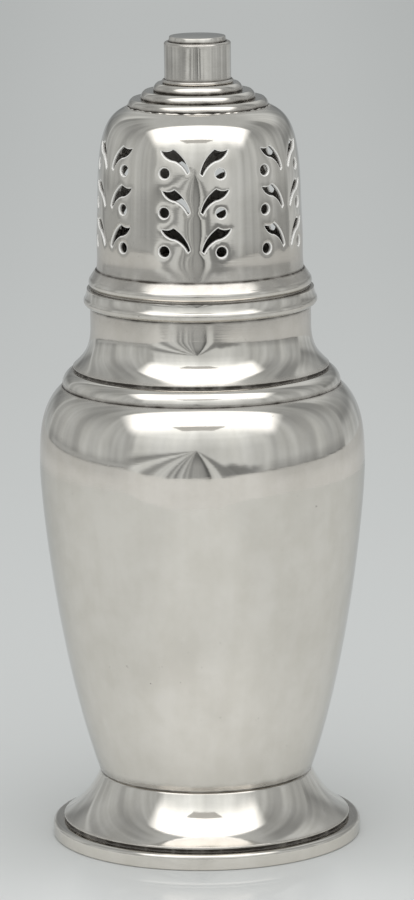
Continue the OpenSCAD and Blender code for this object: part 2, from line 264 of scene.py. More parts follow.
# Tent, and how far its wall stands from the caster, by azimuth
TENT_EYE_H = 0.1
TENT_SKIRT_H = 0.0015
TENT_SKIRT_IN = 0.45
SKIRT_EDGE = (0.003, 0.002)
TENT_FOOT_H = 0.01
TENT_ROOF_H = 0.33
TENT_WALL_PULL = (0.02, 0.2)
TENT_ROOF_PULL = (0.6, 0.03)
TENT_GLOW = 1.06
TENT_TINT = (0.965, 1, 1.005, 1)
SKIRT_TINT = (0.985, 1, 0.99, 1)
PANEL_TINT = (1, 1, 1, 1)
TENT_REACH = [(-180, 0.9), (-58, 0.9), (-37, 0.65), (-22, 0.59), (8, 0.59), (38, 0.72), (70, 0.82),
              (180, 0.9)]

# The bright panel over the front, by where its edges fade, and the dark card under it
PANEL_FRONT = (-0.33, -0.18)
PANEL_BACK = (-0.035, -0.055)
PANEL_SIDE = (0.06, -0.05)
PANEL_HALF_W = 0.155
PANEL_SPLAY = 0.76
CARD_Z = 0.3
CARD_CORNERS = [(-0.1, -0.215), (-0.075, -0.28), (0.045, -0.28), (0.08, -0.215)]
CARD_COLOUR = (0.5, 0.5, 0.49, 1)

# Light and camera, whose sensor and lens are in millimetres
SKY = (0.775, 0.785, 0.785, 1)
BACKDROP = (0.47, 0.485, 0.48, 1)
LAMP_SIZE = 0.9
LAMP_POWER = 2.3
LAMP_PLACE = (0, -0.3, 0.8)
CAMERA_SENSOR = 36
CAMERA_LENS = 205.4
CAMERA_PLACE = (0.00099, -1.0597, 0.2925)
CAMERA_PITCH = -11.21
CAMERA_ROLL = -0.692


# Sections in (radius, height)

def arc(centre, size, start, end, steps=8):
    """Points on a round arc about a centre, between two angles."""
    turns = [math.radians(start + (end - start) * i / steps) for i in range(steps + 1)]
    return [Vector(centre) + size * Vector((math.cos(t), math.sin(t))) for t in turns]


def bow(a, b, rise, steps=12):
    """Points on a round arc from a to b that rises to the left of the straight line."""
    a, b = Vector(a), Vector(b)
    half = (b - a).length / 2
    along = (b - a).normalized()
    left = Vector((-along.y, along.x))
    turn = 2 * math.atan(rise / half)
    size = half / math.sin(turn)
    turns = [turn * (2 * i / steps - 1) for i in range(steps + 1)]
    return [(a + b) / 2 + along * size * math.sin(t) + left * size * (math.cos(t) - math.cos(turn))
            for t in turns]


def curve(a, pull_a, pull_b, b, steps=48):
    """Points on a smooth curve from a to b, with the two pulls that shape its ends."""
    a, b = Vector(a), Vector(b)
    points = []
    for i in range(steps + 1):
        t = i / steps
        u = 1 - t
        near = u**3 * a + 3 * u * u * t * (a + Vector(pull_a))
        far = t**3 * b + 3 * u * t * t * (b + Vector(pull_b))
        points.append(near + far)
    return points


def pull(length, angle):
    """A pull for the end of a curve, at an angle that counts up from straight outward."""
    return length * Vector((math.cos(math.radians(angle)), math.sin(math.radians(angle))))


def inset(points, wall):
    """The inner face of a wall whose outer face runs upward through these points."""
    inner = []
    for i, point in enumerate(points):
        run = points[min(i + 1, len(points) - 1)] - points[max(i - 1, 0)]
        inner.append(point + wall * Vector((-run.y, run.x)).normalized())
    return inner


def section(*stretches):
    """One line through points and lists of points, with no point twice in a row."""
    line = []
    for stretch in stretches:
        for point in (stretch if isinstance(stretch, list) else [stretch]):
            point = Vector(point)
            if not line or (point - line[-1]).length > AXIS_R:
                line.append(point)
    return line


def bead(outer, size, z, inner_low, inner_high):
    """The outer arc of a round bead, between the two radii at which it meets what carries it."""
    centre_r = outer - size
    low = -math.degrees(math.acos((inner_low - centre_r) / size))
    high = math.degrees(math.acos((inner_high - centre_r) / size))
    return arc((centre_r, z), size, low, high, 20)


# Meshes

def seams():
    """Where two pieces meet, as (radius, height, reach, depth): polish leaves the silver tarnished there, and
    the same dark is painted shade in the grooves and under the rings and steps.
    """
    # Broad dark bands, partly tarnished silver and partly painted shade: round the waist, the foot of the
    # neck ring, the foot of the dome and both ends of the post.
    stains_and_shade = [
        (WAIST_R + 0.2 * MM, FOOT_TOP + 0.7 * MM, 0.9 * MM, 0.32),
        (NECK_R, NECK_RING_FOOT, 2.4 * MM, 0.2),
        (DOME_R, DOME_FOOT, 2.6 * MM, 0.3),
        (POST_R, POST_FOOT, 1.6 * MM, 0.2),
        (POST_R, POST_TOP, 0.9 * MM, 0.25),
    ]
    steps = [(radius(step) - 0.1 * MM, bottom(step), 0.6 * MM, 1) for step in STEPS]
    joints = [
        (FLARE_LIP_R - RIM_GROOVE_D, RIM_SEAT - RIM_GROOVE_H / 2, 0.6 * MM, 1),
        (WAIST_R, FOOT_TOP + 0.1 * MM, 0.25 * MM, 1),
        (SHOULDER_R, SHOULDER_TOP, 0.5 * MM, 1),
        (NECK_LIP_R - NECK_GROOVE_D, NECK_SEAT - NECK_GROOVE_H / 2, 0.6 * MM, 1),
        (NECK_R, NECK_RING_FOOT, 0.5 * MM, 1),
        (COVER_SEAT_R, MOUTH, 0.5 * MM, 0.7),
        (DOME_R, DOME_FOOT, 0.45 * MM, 1),
        (POST_R, POST_FOOT, 0.45 * MM, 1),
        (POST_R, POST_FOOT + 2 * POST_FOOT_R, 0.3 * MM, 1),
        (DISC_R, POST_TOP, 0.4 * MM, 1),
    ]
    return stains_and_shade + steps + joints


SEAMS = seams()


def seam_tarnish_and_shade(point):
    """How dark a point of the seen surface is, from 0 to 1: tarnished silver in the seams, and painted shade
    where grooves and overhangs fall dark.
    """
    return max(depth * math.exp(-((point - Vector((r, z))).length / reach) ** 2)
               for r, z, reach, depth in SEAMS)


def add_layer(mesh, name, values):
    layer = mesh.attributes.new(name, "FLOAT", "POINT")
    layer.data.foreach_set("value", values)


def add_object(name, vertices, faces, tarnish=None):
    mesh = bpy.data.meshes.new(name)
    mesh.from_pydata(vertices, [], faces)
    mesh.polygons.foreach_set("use_smooth", [True] * len(mesh.polygons))
    mesh.set_sharp_from_angle(angle=math.radians(SHARP_ANGLE))
    if tarnish:
        add_layer(mesh, "tarnish", tarnish)
    piece = bpy.data.objects.new(name, mesh)
    bpy.context.scene.collection.objects.link(piece)
    return piece


def sweep(line, closed, segments=SEGMENTS):
    """Sweeps a line round the axis. Returns vertices, faces and each vertex's place in the line."""
    vertices, owners, rings = [], [], []
    for index, point in enumerate(line):
        count = segments if point.x > AXIS_R else 1
        rings.append([len(vertices) + i for i in range(count)])
        owners += [index] * count
        for i in range(count):
            turn = 2 * math.pi * i / segments
            vertices.append((point.x * math.sin(turn), -point.x * math.cos(turn), point.y))
    faces = []
    for low, high in zip(rings, rings[1:] + (rings[:1] if closed else [])):
        for i in range(segments):
            corners = [low[i % len(low)], low[(i + 1) % segments % len(low)],
                       high[(i + 1) % segments % len(high)], high[i % len(high)]]
            corners = list(dict.fromkeys(corners))
            if len(corners) > 2:
                faces.append(corners)
    return vertices, faces, owners


def follow_seams(face):
    """The same line, with more points wherever a seam lies near it."""
    line = face[:1]
    for end in face[1:]:
        start = line[-1]
        near = any(seam_tarnish_and_shade(start.lerp(end, i / 12)) > SEAM_FAINT for i in range(13))
        count = math.ceil((end - start).length / SEAM_STEP) if near else 1
        line += [start.lerp(end, i / count) for i in range(1, count + 1)]
    return line


def turned(node, face, back=()):
    """A turned piece: its section runs up the seen face and down the hidden back."""
    face = follow_seams(face)
    line = face + list(back)
    tarnish_and_shade_share = [seam_tarnish_and_shade(point) for point in face] + [INSIDE_TARNISH] * len(back)
    vertices, faces, owners = sweep(line, closed=line[0].x > AXIS_R)
    return add_object(node + "_silver", vertices, faces, [tarnish_and_shade_share[index] for index in owners])


def foot_rim():
    bore = RIM_R - RIM_W
    land = FLARE_LIP_R - RIM_GROOVE_D
    face = section((bore, 0), arc((RIM_R - RIM_FOOT_R, RIM_FOOT_R), RIM_FOOT_R, -90, 0),
                   arc((RIM_R - RIM_EDGE_R, RIM_TOP - RIM_EDGE_R), RIM_EDGE_R, 0, 90, 12),
                   (land, RIM_TOP), (land, RIM_SEAT))
    return turned("foot_rim", face, section((bore, RIM_SEAT)))


def foot():
    lip = arc((FLARE_LIP_R - FLARE_LIP_ROUND, RIM_SEAT + FLARE_LIP_H), FLARE_LIP_ROUND, 0, FLARE_LIP_LEAN)
    turn_r = WAIST_R - WAIST_EDGE_R * math.cos(math.radians(WAIST_LEAN))
    waist = arc((turn_r, FOOT_TOP - WAIST_EDGE_R), WAIST_EDGE_R, WAIST_LEAN, 90)
    flare = curve(lip[-1], pull(FLARE_PULL_LOW, 90 + FLARE_LIP_LEAN),
                  pull(FLARE_PULL_HIGH, WAIST_LEAN - 90), waist[0], 40)
    seat_r = WAIST_R - WAIST_EDGE_R - FOOT_SEAT_W
    face = section((FLARE_LIP_R - LIP_SEAT_W, RIM_SEAT), (FLARE_LIP_R, RIM_SEAT), lip, flare, waist,
                   (seat_r, FOOT_TOP))
    inner = [point for point in inset(flare, VESSEL_WALL) if point.x < FLARE_LIP_R - LIP_SEAT_W]
    inner = [point for point in inner if point.y < FOOT_TOP - VESSEL_WALL]
    back = section((seat_r, FOOT_TOP - VESSEL_WALL), (inner[-1].x, FOOT_TOP - VESSEL_WALL), inner[::-1])
    return turned("foot", face, back)


def body():
    flank = curve((BOTTOM_R, FOOT_TOP + BOTTOM_EDGE_R), pull(FLANK_PULL_LOW, 90 - FLANK_LEAN),
                  (0, -FLANK_PULL_HIGH), (BELLY_R, BELLY_Z), 72)
    shoulder = curve((BELLY_R, BELLY_Z), (0, SHOULDER_PULL_LOW),
                     pull(SHOULDER_PULL_HIGH, SHOULDER_LEAN - 90), (SHOULDER_R, SHOULDER_TOP), 40)
    wall = section(flank, shoulder)
    opening = SHOULDER_R - SHOULDER_LAND_W
    edge = arc((BOTTOM_R - BOTTOM_EDGE_R, FOOT_TOP + BOTTOM_EDGE_R), BOTTOM_EDGE_R, -90, 0)
    face = section((0, FOOT_TOP), edge, wall, (opening, SHOULDER_TOP))
    floor_z = FOOT_TOP + BOTTOM_T
    inner = [point for point in inset(wall, VESSEL_WALL)[::3]
             if floor_z < point.y < SHOULDER_TOP - VESSEL_WALL]
    back = section((opening, SHOULDER_TOP - VESSEL_WALL), inner[::-1], (inner[0].x, floor_z), (0, floor_z))
    return turned("body", face, back)


def shoulder_ring():
    bore = MOULDING_R - MOULDING_W
    land = NECK_LIP_R - NECK_GROOVE_D
    face = section((bore, SHOULDER_TOP), (MOULDING_R, SHOULDER_TOP),
                   bow((MOULDING_R, SHOULDER_TOP + MOULDING_FOOT_H), (MOULDING_R - MOULDING_IN, MOULDING_TOP),
                       -MOULDING_BULGE, 20),
                   (land, MOULDING_TOP), (land, NECK_SEAT))
    return turned("shoulder_ring", face, section((bore, NECK_SEAT)))


def neck():
    hollow = curve((NECK_LIP_R, NECK_SEAT + NECK_LIP_H), pull(NECK_PULL_LOW, 90 + NECK_LIP_LEAN),
                   (0, -NECK_PULL_HIGH), (NECK_WAIST_R, NECK_SPRING), 60)
    collar = [(NECK_WAIST_R, NECK_SPRING + (MOUTH - NECK_SPRING) * i / 30) for i in range(31)]
    face = section((NECK_LIP_R - VESSEL_WALL, NECK_SEAT), (NECK_LIP_R, NECK_SEAT), hollow, collar)
    back = section((NECK_WAIST_R - VESSEL_WALL, MOUTH), inset(hollow, VESSEL_WALL)[::-1])
    return turned("neck", face, back)


def neck_ring():
    bore = NECK_WAIST_R + SOLDER_GAP
    low = bead(NECK_BEAD_OUT_R, NECK_BEAD_R, NECK_RING_FOOT + NECK_BEAD_R, NECK_BAND_R, NECK_COVE_FOOT_R)
    cove = bow(low[-1], (NECK_COVE_R, MOUTH), NECK_COVE_HOLLOW)
    face = section((bore, NECK_RING_FOOT), (NECK_BAND_R, NECK_RING_FOOT), low, cove)
    return turned("neck_ring", face, section((bore, MOUTH)))


def cover_ring():
    bore = SLEEVE_R + SOLDER_GAP
    flange = DOME_R - COVER_WALL
    low = bead(COVER_BEAD_OUT_R, COVER_BEAD_R, MOUTH + COVER_BEAD_R, COVER_SEAT_R, COVER_OVOLO_R)
    ovolo = bow(low[-1], (DOME_R, DOME_FOOT), -COVER_OVOLO_BULGE)
    face = section((bore, MOUTH), arc((COVER_SEAT_R - POLISH_R, MOUTH + POLISH_R), POLISH_R, -90, 0, 4),
                   low, ovolo, (flange, DOME_FOOT))
    back = section((flange, DOME_FOOT - COVER_FLANGE_T), (bore, DOME_FOOT - COVER_FLANGE_T))
    return turned("cover_ring", face, back)


def cover_sleeve():
    bore = SLEEVE_R - SLEEVE_WALL
    low, high = bottom("cover_sleeve"), top("cover_sleeve")
    middle = SLEEVE_R - SLEEVE_WALL / 2
    face = section(arc((middle, low + SLEEVE_WALL / 2), SLEEVE_WALL / 2, -180, 0, 10), (SLEEVE_R, high))
    return turned("cover_sleeve", face, section((bore, high)))


def step(node):
    low, high, edge = bottom(node), top(node), radius(node)
    bore = TENON_R + SOLDER_GAP
    under = arc((edge - STEP_FOOT_R, low + STEP_FOOT_R), STEP_FOOT_R, -90, 0)
    slope = bow((edge, low + STEP_FOOT_R + STEP_SIDE_H), (edge - STEP_SLOPE_W, high), -STEP_SLOPE_BULGE)
    return turned(node, section((bore, low), under, slope), section((bore, high)))


def finial_post():
    foot_out = radius("finial_post")
    face = section((0, bottom("finial_post")), (TENON_R, bottom("finial_post")), (TENON_R, POST_FOOT),
                   (foot_out - POST_FOOT_R, POST_FOOT),
                   bead(foot_out, POST_FOOT_R, POST_FOOT + POST_FOOT_R, foot_out - POST_FOOT_R, POST_R),
                   arc((POST_R - POST_EDGE_R, POST_TOP - POST_EDGE_R), POST_EDGE_R, 0, 90), (0, POST_TOP))
    return turned("finial_post", face)


def finial_disc():
    high = top("finial_disc")
    face = section((0, POST_TOP), arc((DISC_R - POLISH_R, POST_TOP + POLISH_R), POLISH_R, -90, 0, 4),
                   (DISC_R, POST_TOP + DISC_SIDE_H),
                   arc((DISC_R - DISC_SIDE_IN - DISC_EDGE_R, high - DISC_EDGE_R), DISC_EDGE_R, 10, 90),
                   (0, high))
    return turned("finial_disc", face)


def step_solder():
    """The uneven line of solder that shows under the lowest step."""
    count, across = 4 * SEGMENTS, 8
    middle_r = radius("lower_step") + STEP_SOLDER_R / 2
    middle_z = CROWN - STEP_SOLDER_R / 3
    vertices, faces = [], []
    for i in range(count):
        turn = 2 * math.pi * i / count
        lumps = sum(share * math.sin(waves * turn + start) for waves, share, start in STEP_SOLDER_LUMPS)
        size = STEP_SOLDER_R * (STEP_SOLDER_MEAN + lumps)
        for point in arc((middle_r, middle_z), size, 0, 360, across)[:-1]:
            vertices.append((point.x * math.sin(turn), -point.x * math.cos(turn), point.y))
    for i in range(count):
        near, far = i * across, (i + 1) % count * across
        for j in range(across):
            k = (j + 1) % across
            faces.append([near + j, far + j, far + k, near + k])
    return add_object("step_solder", vertices, faces, [SOLDER_TARNISH] * len(vertices))


# The pierced dome

class Shell:
    """A turned surface whose radius and slope are looked up by height."""

    def __init__(self, line):
        self.line = line
        self.heights = [point.y for point in line]

    def at(self, z):
        i = min(max(bisect.bisect(self.heights, z), 1), len(self.line) - 1)
        low, high = self.line[i - 1], self.line[i]
        share = (z - low.y) / (high.y - low.y)
        return low.x + (high.x - low.x) * share, (high.x - low.x) / (high.y - low.y)

    def place(self, turn, z, depth=0):
        r = self.at(z)[0] - depth
        return (r * math.sin(turn), -r * math.cos(turn), z)

    def normal(self, point):
        slope = self.at(point.z)[1]
        out = Vector((point.x, point.y, 0)).normalized()
        return (out - Vector((0, 0, slope))).normalized()


def dome_line():
    taper = (DOME_R - SPRING_R) / (SPRING_Z - DOME_FOOT)
    closing = curve((SPRING_R, SPRING_Z), pull(DOME_PULL_LOW, 90 + math.degrees(math.atan(taper))),
                    pull(DOME_PULL_HIGH, -CROWN_SLOPE), (CROWN_R, CROWN), 160)
    wall = []
    for i in range(60):
        rise = (SPRING_Z - DOME_FOOT) * i / 60
        tuck = DOME_TUCK * math.exp(-((rise - DOME_TUCK_Z) / DOME_TUCK_H) ** 2)
        wall.append((DOME_R - taper * rise - tuck, DOME_FOOT + rise))
    return section(wall, closing)


def leaf_outline(side):
    """One leaf, drawn flat from its root: side is 1 to the right of the stem and -1 to the left."""
    root_in = Vector((-LEAF_W / 2, LEAF_TAIL_W))
    root_out = Vector((LEAF_TAIL_W - LEAF_W / 2, 0))
    cusp = Vector((LEAF_CUSP_X, LEAF_H))
    tip = Vector((LEAF_W / 2, LEAF_H - LEAF_TIP_DROP))
    line = section(bow(root_in, cusp, LEAF_BACK_BOW), bow(cusp, tip, -LEAF_SCOOP_BOW, 8),
                   bow(tip, LEAF_BELLY, LEAF_BELLY_BOW, 8), bow(LEAF_BELLY, root_out, -LEAF_TAIL_BOW))
    return [Vector((side * point.x, point.y - ROOT_DROP)) for point in line][::side]


def grown(outline, by):
    """The outline moved out on every side. It runs clockwise."""
    points = []
    for i, point in enumerate(outline):
        run = outline[(i + 1) % len(outline)] - outline[i - 1]
        points.append(point + by * Vector((-run.y, run.x)).normalized())
    return points


def hand_cut(outline, hand):
    """The outline as a hand with a piercing saw leaves it: a little turned, moved and resized."""
    turn = Matrix.Rotation(math.radians(hand.gauss(0, HAND_TURN)), 2)
    shift = Vector((hand.gauss(0, HAND_SHIFT), hand.gauss(0, HAND_SHIFT)))
    size = hand.gauss(1, HAND_SIZE)
    return [turn @ point * size + shift for point in outline]


def hole_outlines(hand):
    """The holes of one column: for each, its angle from the stem, its height and its flat outline."""
    dot = arc((0, 0), DOT_R, 360, 0, 32)[:-1]
    kinds = [(LEAF_ANGLE, leaf_outline(1)), (-LEAF_ANGLE, leaf_outline(-1)),
             (RIGHT_DOT_ANGLE, dot), (-LEFT_DOT_ANGLE, dot)]
    heights = [FIRST_DOT_Z + tier * TIER_PITCH for tier in range(TIERS)]
    return [(angle, z, hand_cut(outline, hand)) for z in heights for angle, outline in kinds]


def on_shell(shell, hole, by=0, depth=0):
    """The hole's outline, cut straight through a shell, as (turn, height)."""
    angle, z, outline = hole
    marks = []
    for point in (grown(outline, by) if by else outline):
        height = z + point.y
        marks.append((math.radians(angle) + math.asin(point.x / (shell.at(height)[0] - depth)), height))
    return marks


class Outline:
    """A closed outline that can tell whether a point lies inside it."""

    def __init__(self, points):
        self.points = points
        self.sides = list(zip(points, points[1:] + points[:1]))
        across, up = zip(*points)
        self.low, self.high = (min(across), min(up)), (max(across), max(up))

    def holds(self, x, y, room=0):
        """True if a point lies inside, or within some room of a corner."""
        (left, low), (right, high) = self.low, self.high
        if not (left - room < x < right + room and low - room < y < high + room):
            return False
        if room and any(abs(x - a) < room and abs(y - b) < room for a, b in self.points):
            return True
        inside = False
        for (x1, y1), (x2, y2) in self.sides:
            if (y1 > y) != (y2 > y) and x < (x2 - x1) * (y - y1) / (y2 - y1) + x1:
                inside = not inside
        return inside


def pierced_sheet(outlines, across, rows):
    """One column's stretch of wall, laid flat in millimetres and triangulated round its holes.

    Returns its points as (turn, height), and its triangles.
    """
    half = math.pi / COLUMNS
    flat = DOME_R / MM
    tall = 1 / MM
    clear = SHEET_CLEAR / MM
    holes = [Outline([(turn * flat, z * tall) for turn, z in outline]) for outline in outlines]
    points, edges = [], []
    for hole in holes:
        start, count = len(points), len(hole.points)
        points += [Vector(mark) for mark in hole.points]
        edges += [(start + i, start + (i + 1) % count) for i in range(count)]
    for j in range(rows + 1):
        y = (DOME_FOOT + (PIERCED_TOP - DOME_FOOT) * j / rows) * tall
        for i in range(across + 1):
            x = (2 * i / across - 1) * half * flat
            if not any(hole.holds(x, y, clear) for hole in holes):
                points.append(Vector((x, y)))
    found, _, triangles, *_ = delaunay_2d_cdt(points, edges, [], 0, 1e-6)
    kept = []
    for triangle in triangles:
        x = sum(found[i].x for i in triangle) / 3
        y = sum(found[i].y for i in triangle) / 3
        if not any(hole.holds(x, y) for hole in holes):
            kept.append(list(triangle))
    return [(point.x / flat, point.y / tall) for point in found], kept


class Surface:
    """Vertices and faces gathered for one mesh, each vertex with its share of tarnished silver and painted
    shade, and its share of painted highlight.
    """

    def __init__(self):
        self.vertices, self.faces, self.tarnish, self.rim_highlight = [], [], [], []

    def add(self, points, tarnish_and_shade_share, faces=(), rim_highlight=0):
        """Adds points, and faces that count from the first of them, whose index is returned."""
        start = len(self.vertices)
        self.vertices += points
        self.tarnish += tarnish_and_shade_share
        self.rim_highlight += [rim_highlight] * len(points)
        self.faces += [[start + i for i in face] for face in faces]
        return start

    def bridge(self, near, far, count):
        """Joins two closed rings of points with a strip of faces."""
        for i in range(count):
            j = (i + 1) % count
            self.faces.append([near + i, near + j, far + j, far + i])


def hole_rings(outer, inner, hole, stem):
    """One hole's wall, as rings from its rounded mouth, painted white as a highlight, to the inner face:
    points, how tarnished each is, and how much painted highlight it has.
    """
    rings = []
    for i in range(HOLE_EDGE_STEPS + 1):
        turn = math.pi / 2 * i / HOLE_EDGE_STEPS
        depth = HOLE_EDGE * (1 - math.cos(turn))
        marks = on_shell(outer, hole, HOLE_EDGE * (1 - math.sin(turn)), depth)
        points = [outer.place(stem + t, z, depth) for t, z in marks]
        rings.append((points, HOLE_EDGE_TARNISH * i / HOLE_EDGE_STEPS, 1 if i else 0))
    points = [inner.place(stem + t, z) for t, z in on_shell(inner, hole)]
    return rings + [(points, DOME_INSIDE_TARNISH, 0)]


def add_column(surface, outer, inner, holes, stem):
    """One sixth of the pierced wall. Returns the points round its holes."""
    mouths = [on_shell(outer, hole, HOLE_EDGE) for hole in holes]
    marks, triangles = pierced_sheet(mouths, SHEET_COLUMNS, SHEET_ROWS)
    surface.add([outer.place(stem + turn, z) for turn, z in marks],
                [seam_tarnish_and_shade(Vector((outer.at(z)[0], z))) for _, z in marks], triangles)
    exits = [on_shell(inner, hole) for hole in holes]
    marks, triangles = pierced_sheet(exits, SHEET_COLUMNS, SHEET_ROWS // 2)
    surface.add([inner.place(stem + turn, z) for turn, z in marks], [DOME_INSIDE_TARNISH] * len(marks),
                [triangle[::-1] for triangle in triangles])
    for hole in holes:
        rings = hole_rings(outer, inner, hole, stem)
        starts = [surface.add(points, [tarnish_and_shade_share] * len(points), (), rim_highlight) for points, tarnish_and_shade_share, rim_highlight in rings]
        for near, far in zip(starts, starts[1:]):
            surface.bridge(near, far, len(rings[0][0]))
    return [outer.place(stem + turn, z) for hole in holes for turn, z in on_shell(outer, hole)]


def add_crown(surface, outer, inner, segments):
    """The plain top of the dome, from the pierced wall in to the tenon hole, and its inner face."""
    seen = section((outer.at(PIERCED_TOP)[0], PIERCED_TOP), [p for p in outer.line if p.y > PIERCED_TOP])
    under = CROWN - COVER_WALL
    hidden = section((inner.at(PIERCED_TOP)[0], PIERCED_TOP),
                     [p for p in inner.line[::4] if PIERCED_TOP < p.y < under])
    tenon = TENON_R + SOLDER_GAP
    back = section((tenon, CROWN), (tenon, under), (hidden[-1].x, under), hidden[::-1])
    vertices, faces, owners = sweep(seen + back, closed=False, segments=segments)
    tarnish_and_shade_share = [seam_tarnish_and_shade(point) for point in seen] + [DOME_INSIDE_TARNISH] * len(back)
    turn = Matrix.Rotation(math.radians(COLUMN_TURN), 3, "Z")
    surface.add([tuple(turn @ Vector(vertex)) for vertex in vertices], [tarnish_and_shade_share[i] for i in owners], faces)


def dome():
    outer = Shell(dome_line())
    inner = Shell(section((DOME_R - DOME_TUCK - COVER_WALL, DOME_FOOT), inset(dome_line()[1:], COVER_WALL)))
    hand = random.Random(HAND_SEED)
    surface = Surface()
    rims = []
    for column in range(COLUMNS):
        stem = math.radians(COLUMN_TURN + column * 360 / COLUMNS)
        rims += add_column(surface, outer, inner, hole_outlines(hand), stem)
    segments = COLUMNS * SHEET_COLUMNS
    add_crown(surface, outer, inner, segments)
    turns = [math.radians(COLUMN_TURN) + 2 * math.pi * i / segments for i in range(segments)]
    rings = [surface.add([shell.place(turn, DOME_FOOT) for turn in turns], [1] * segments)
             for shell in (inner, outer)]
    surface.bridge(*rings, segments)

    piece = add_object("dome_silver", surface.vertices, surface.faces, surface.tarnish)
    add_layer(piece.data, "rim_highlight", surface.rim_highlight)
    weld(piece)
    true_normals(piece, outer, rims)
    return piece


def weld(piece):
    """Joins the columns, the crown and the holes' walls where their points meet."""
    work = bmesh.new()
    work.from_mesh(piece.data)
    bmesh.ops.remove_doubles(work, verts=work.verts, dist=SOLDER_GAP / 20)
    bmesh.ops.recalc_face_normals(work, faces=work.faces)
    work.to_mesh(piece.data)
    work.free()
    piece.data.set_sharp_from_angle(angle=math.radians(SHARP_ANGLE))


def true_normals(piece, shell, rims):
    """Gives the outer skin the normals of the turned surface, which dips a little towards each hole."""
    mesh = piece.data
    nearest = KDTree(len(rims))
    for i, rim in enumerate(rims):
        nearest.insert(rim, i)
    nearest.balance()

    def dipped(point):
        straight = shell.normal(point)
        rim, _, gap = nearest.find(point)
        way = rim - point
        way -= way.dot(straight) * straight
        dip = math.radians(HOLE_DIP) * math.exp(-((gap - HOLE_EDGE) / HOLE_DIP_REACH) ** 2)
        return (straight + math.tan(dip) * way.normalized()).normalized()

    known = {}
    normals = [Vector((0, 0, 0)) for _ in mesh.loops]
    for face in mesh.polygons:
        centre = face.center
        if centre.z > CROWN - POLISH_R:
            continue
        depth = shell.at(centre.z)[0] - math.hypot(centre.x, centre.y)
        if depth < POLISH_R / 2 and face.normal.dot(shell.normal(centre)) > SKIN_FACING:
            for loop in face.loop_indices:
                vertex = mesh.loops[loop].vertex_index
                if vertex not in known:
                    known[vertex] = dipped(mesh.vertices[vertex].co)
                normals[loop] = known[vertex]
    mesh.normals_split_custom_set(normals)


# Materials

class Graph:
    """Adds shader nodes to a tree, each fed by numbers or by other nodes' outputs."""

    def __init__(self, tree):
        self.tree = tree
        tree.nodes.clear()

    def add(self, kind, inputs, **settings):
        node = self.tree.nodes.new("ShaderNode" + kind)
        for name, value in settings.items():
            setattr(node, name, value)
        for name, value in inputs.items():
            if isinstance(value, bpy.types.NodeSocket):
                self.tree.links.new(value, node.inputs[name])
            else:
                node.inputs[name].default_value = value
        return node

    def math(self, operation, *values):
        return self.add("Math", dict(enumerate(values)), operation=operation).outputs[0]

    def product(self, first, *others):
        for other in others:
            first = self.math("MULTIPLY", first, other)
        return first

    def scale(self, value, low, high, to_low=0, to_high=1, kind="SMOOTHSTEP"):
        """Carries low..high over to to_low..to_high, and holds the ends."""
        node = self.add("MapRange", {"Value": value, "From Min": low, "From Max": high,
                                     "To Min": to_low, "To Max": to_high}, interpolation_type=kind)
        return node.outputs["Result"]

    def between(self, factor, low, high):
        return self.scale(factor, 0, 1, low, high, "LINEAR")

    def noise(self, vector, size, detail=2, roughness=0.5):
        node = self.add("TexNoise", {"Vector": vector, "Scale": 1 / size,
                                     "Detail": detail, "Roughness": roughness})
        return node.outputs["Fac"]

    def stretch(self, vector, scale):
        return self.add("Mapping", {"Vector": vector, "Scale": scale}).outputs["Vector"]

    def blend(self, factor, first, second):
        node = self.add("Mix", {0: factor, 6: first, 7: second}, data_type="RGBA")
        return node.outputs[2]

    def band(self, value, low, high, soft):
        """1 from low to high, falling to 0 over a soft edge outside them."""
        return self.product(self.scale(value, low - soft, low), self.scale(value, high + soft, high))

    def steps(self, value, low, high, stops):
        """A curve of levels, given as (place, level), read at a value between low and high."""
        share = self.scale(value, low, high, kind="LINEAR")
        node = self.add("ValToRGB", {"Fac": share})
        ramp = node.color_ramp
        ramp.interpolation = "EASE"
        while len(ramp.elements) < len(stops):
            ramp.elements.new(0.5)
        for element, (place, level) in zip(ramp.elements, stops):
            element.position = (place - low) / (high - low)
            element.color = (level, level, level, 1)
        return node.outputs["Color"]


def new_graph(name):
    material = bpy.data.materials.new(name)
    material.use_nodes = True
    return material, Graph(material.node_tree)


def tarnish_depth(graph, place, wear, patches):
    """Dark in the seams, where it is tarnished silver and painted shade, with a faint bloom and small spots
    elsewhere.
    """
    # This attribute carries both tarnished silver and painted shade from the seams.
    seam = graph.add("Attribute", {}, attribute_name="tarnish").outputs["Fac"]
    uneven = graph.scale(wear, 0.3, 0.7, 0.6, 1.4, "LINEAR")
    bloom = graph.scale(patches, 0.52, 0.8, 0, 0.06)
    specks = graph.scale(graph.noise(place, 0.9 * MM, 2), 0.72, 0.80)
    spots = graph.product(specks, graph.scale(patches, 0.5, 0.65, 0, 0.45))
    tarnish = graph.math("ADD", graph.product(seam, uneven), graph.math("ADD", bloom, spots))
    return graph.math("MINIMUM", tarnish, 1)


def worked_surface(graph, place):
    """The soft waves of sheet worked by hand, and fine scratches that run round it."""
    waves = graph.add("Bump", {"Height": graph.noise(place, 16 * MM, 1), "Strength": 1,
                               "Distance": 0.012 * MM})
    lines = graph.noise(graph.stretch(place, (1, 1, 14)), 4 * MM, 3, 0.6)
    scratches = graph.add("Bump", {"Height": lines, "Strength": 1, "Distance": 0.0025 * MM,
                                   "Normal": waves.outputs["Normal"]})
    return scratches.outputs["Normal"]


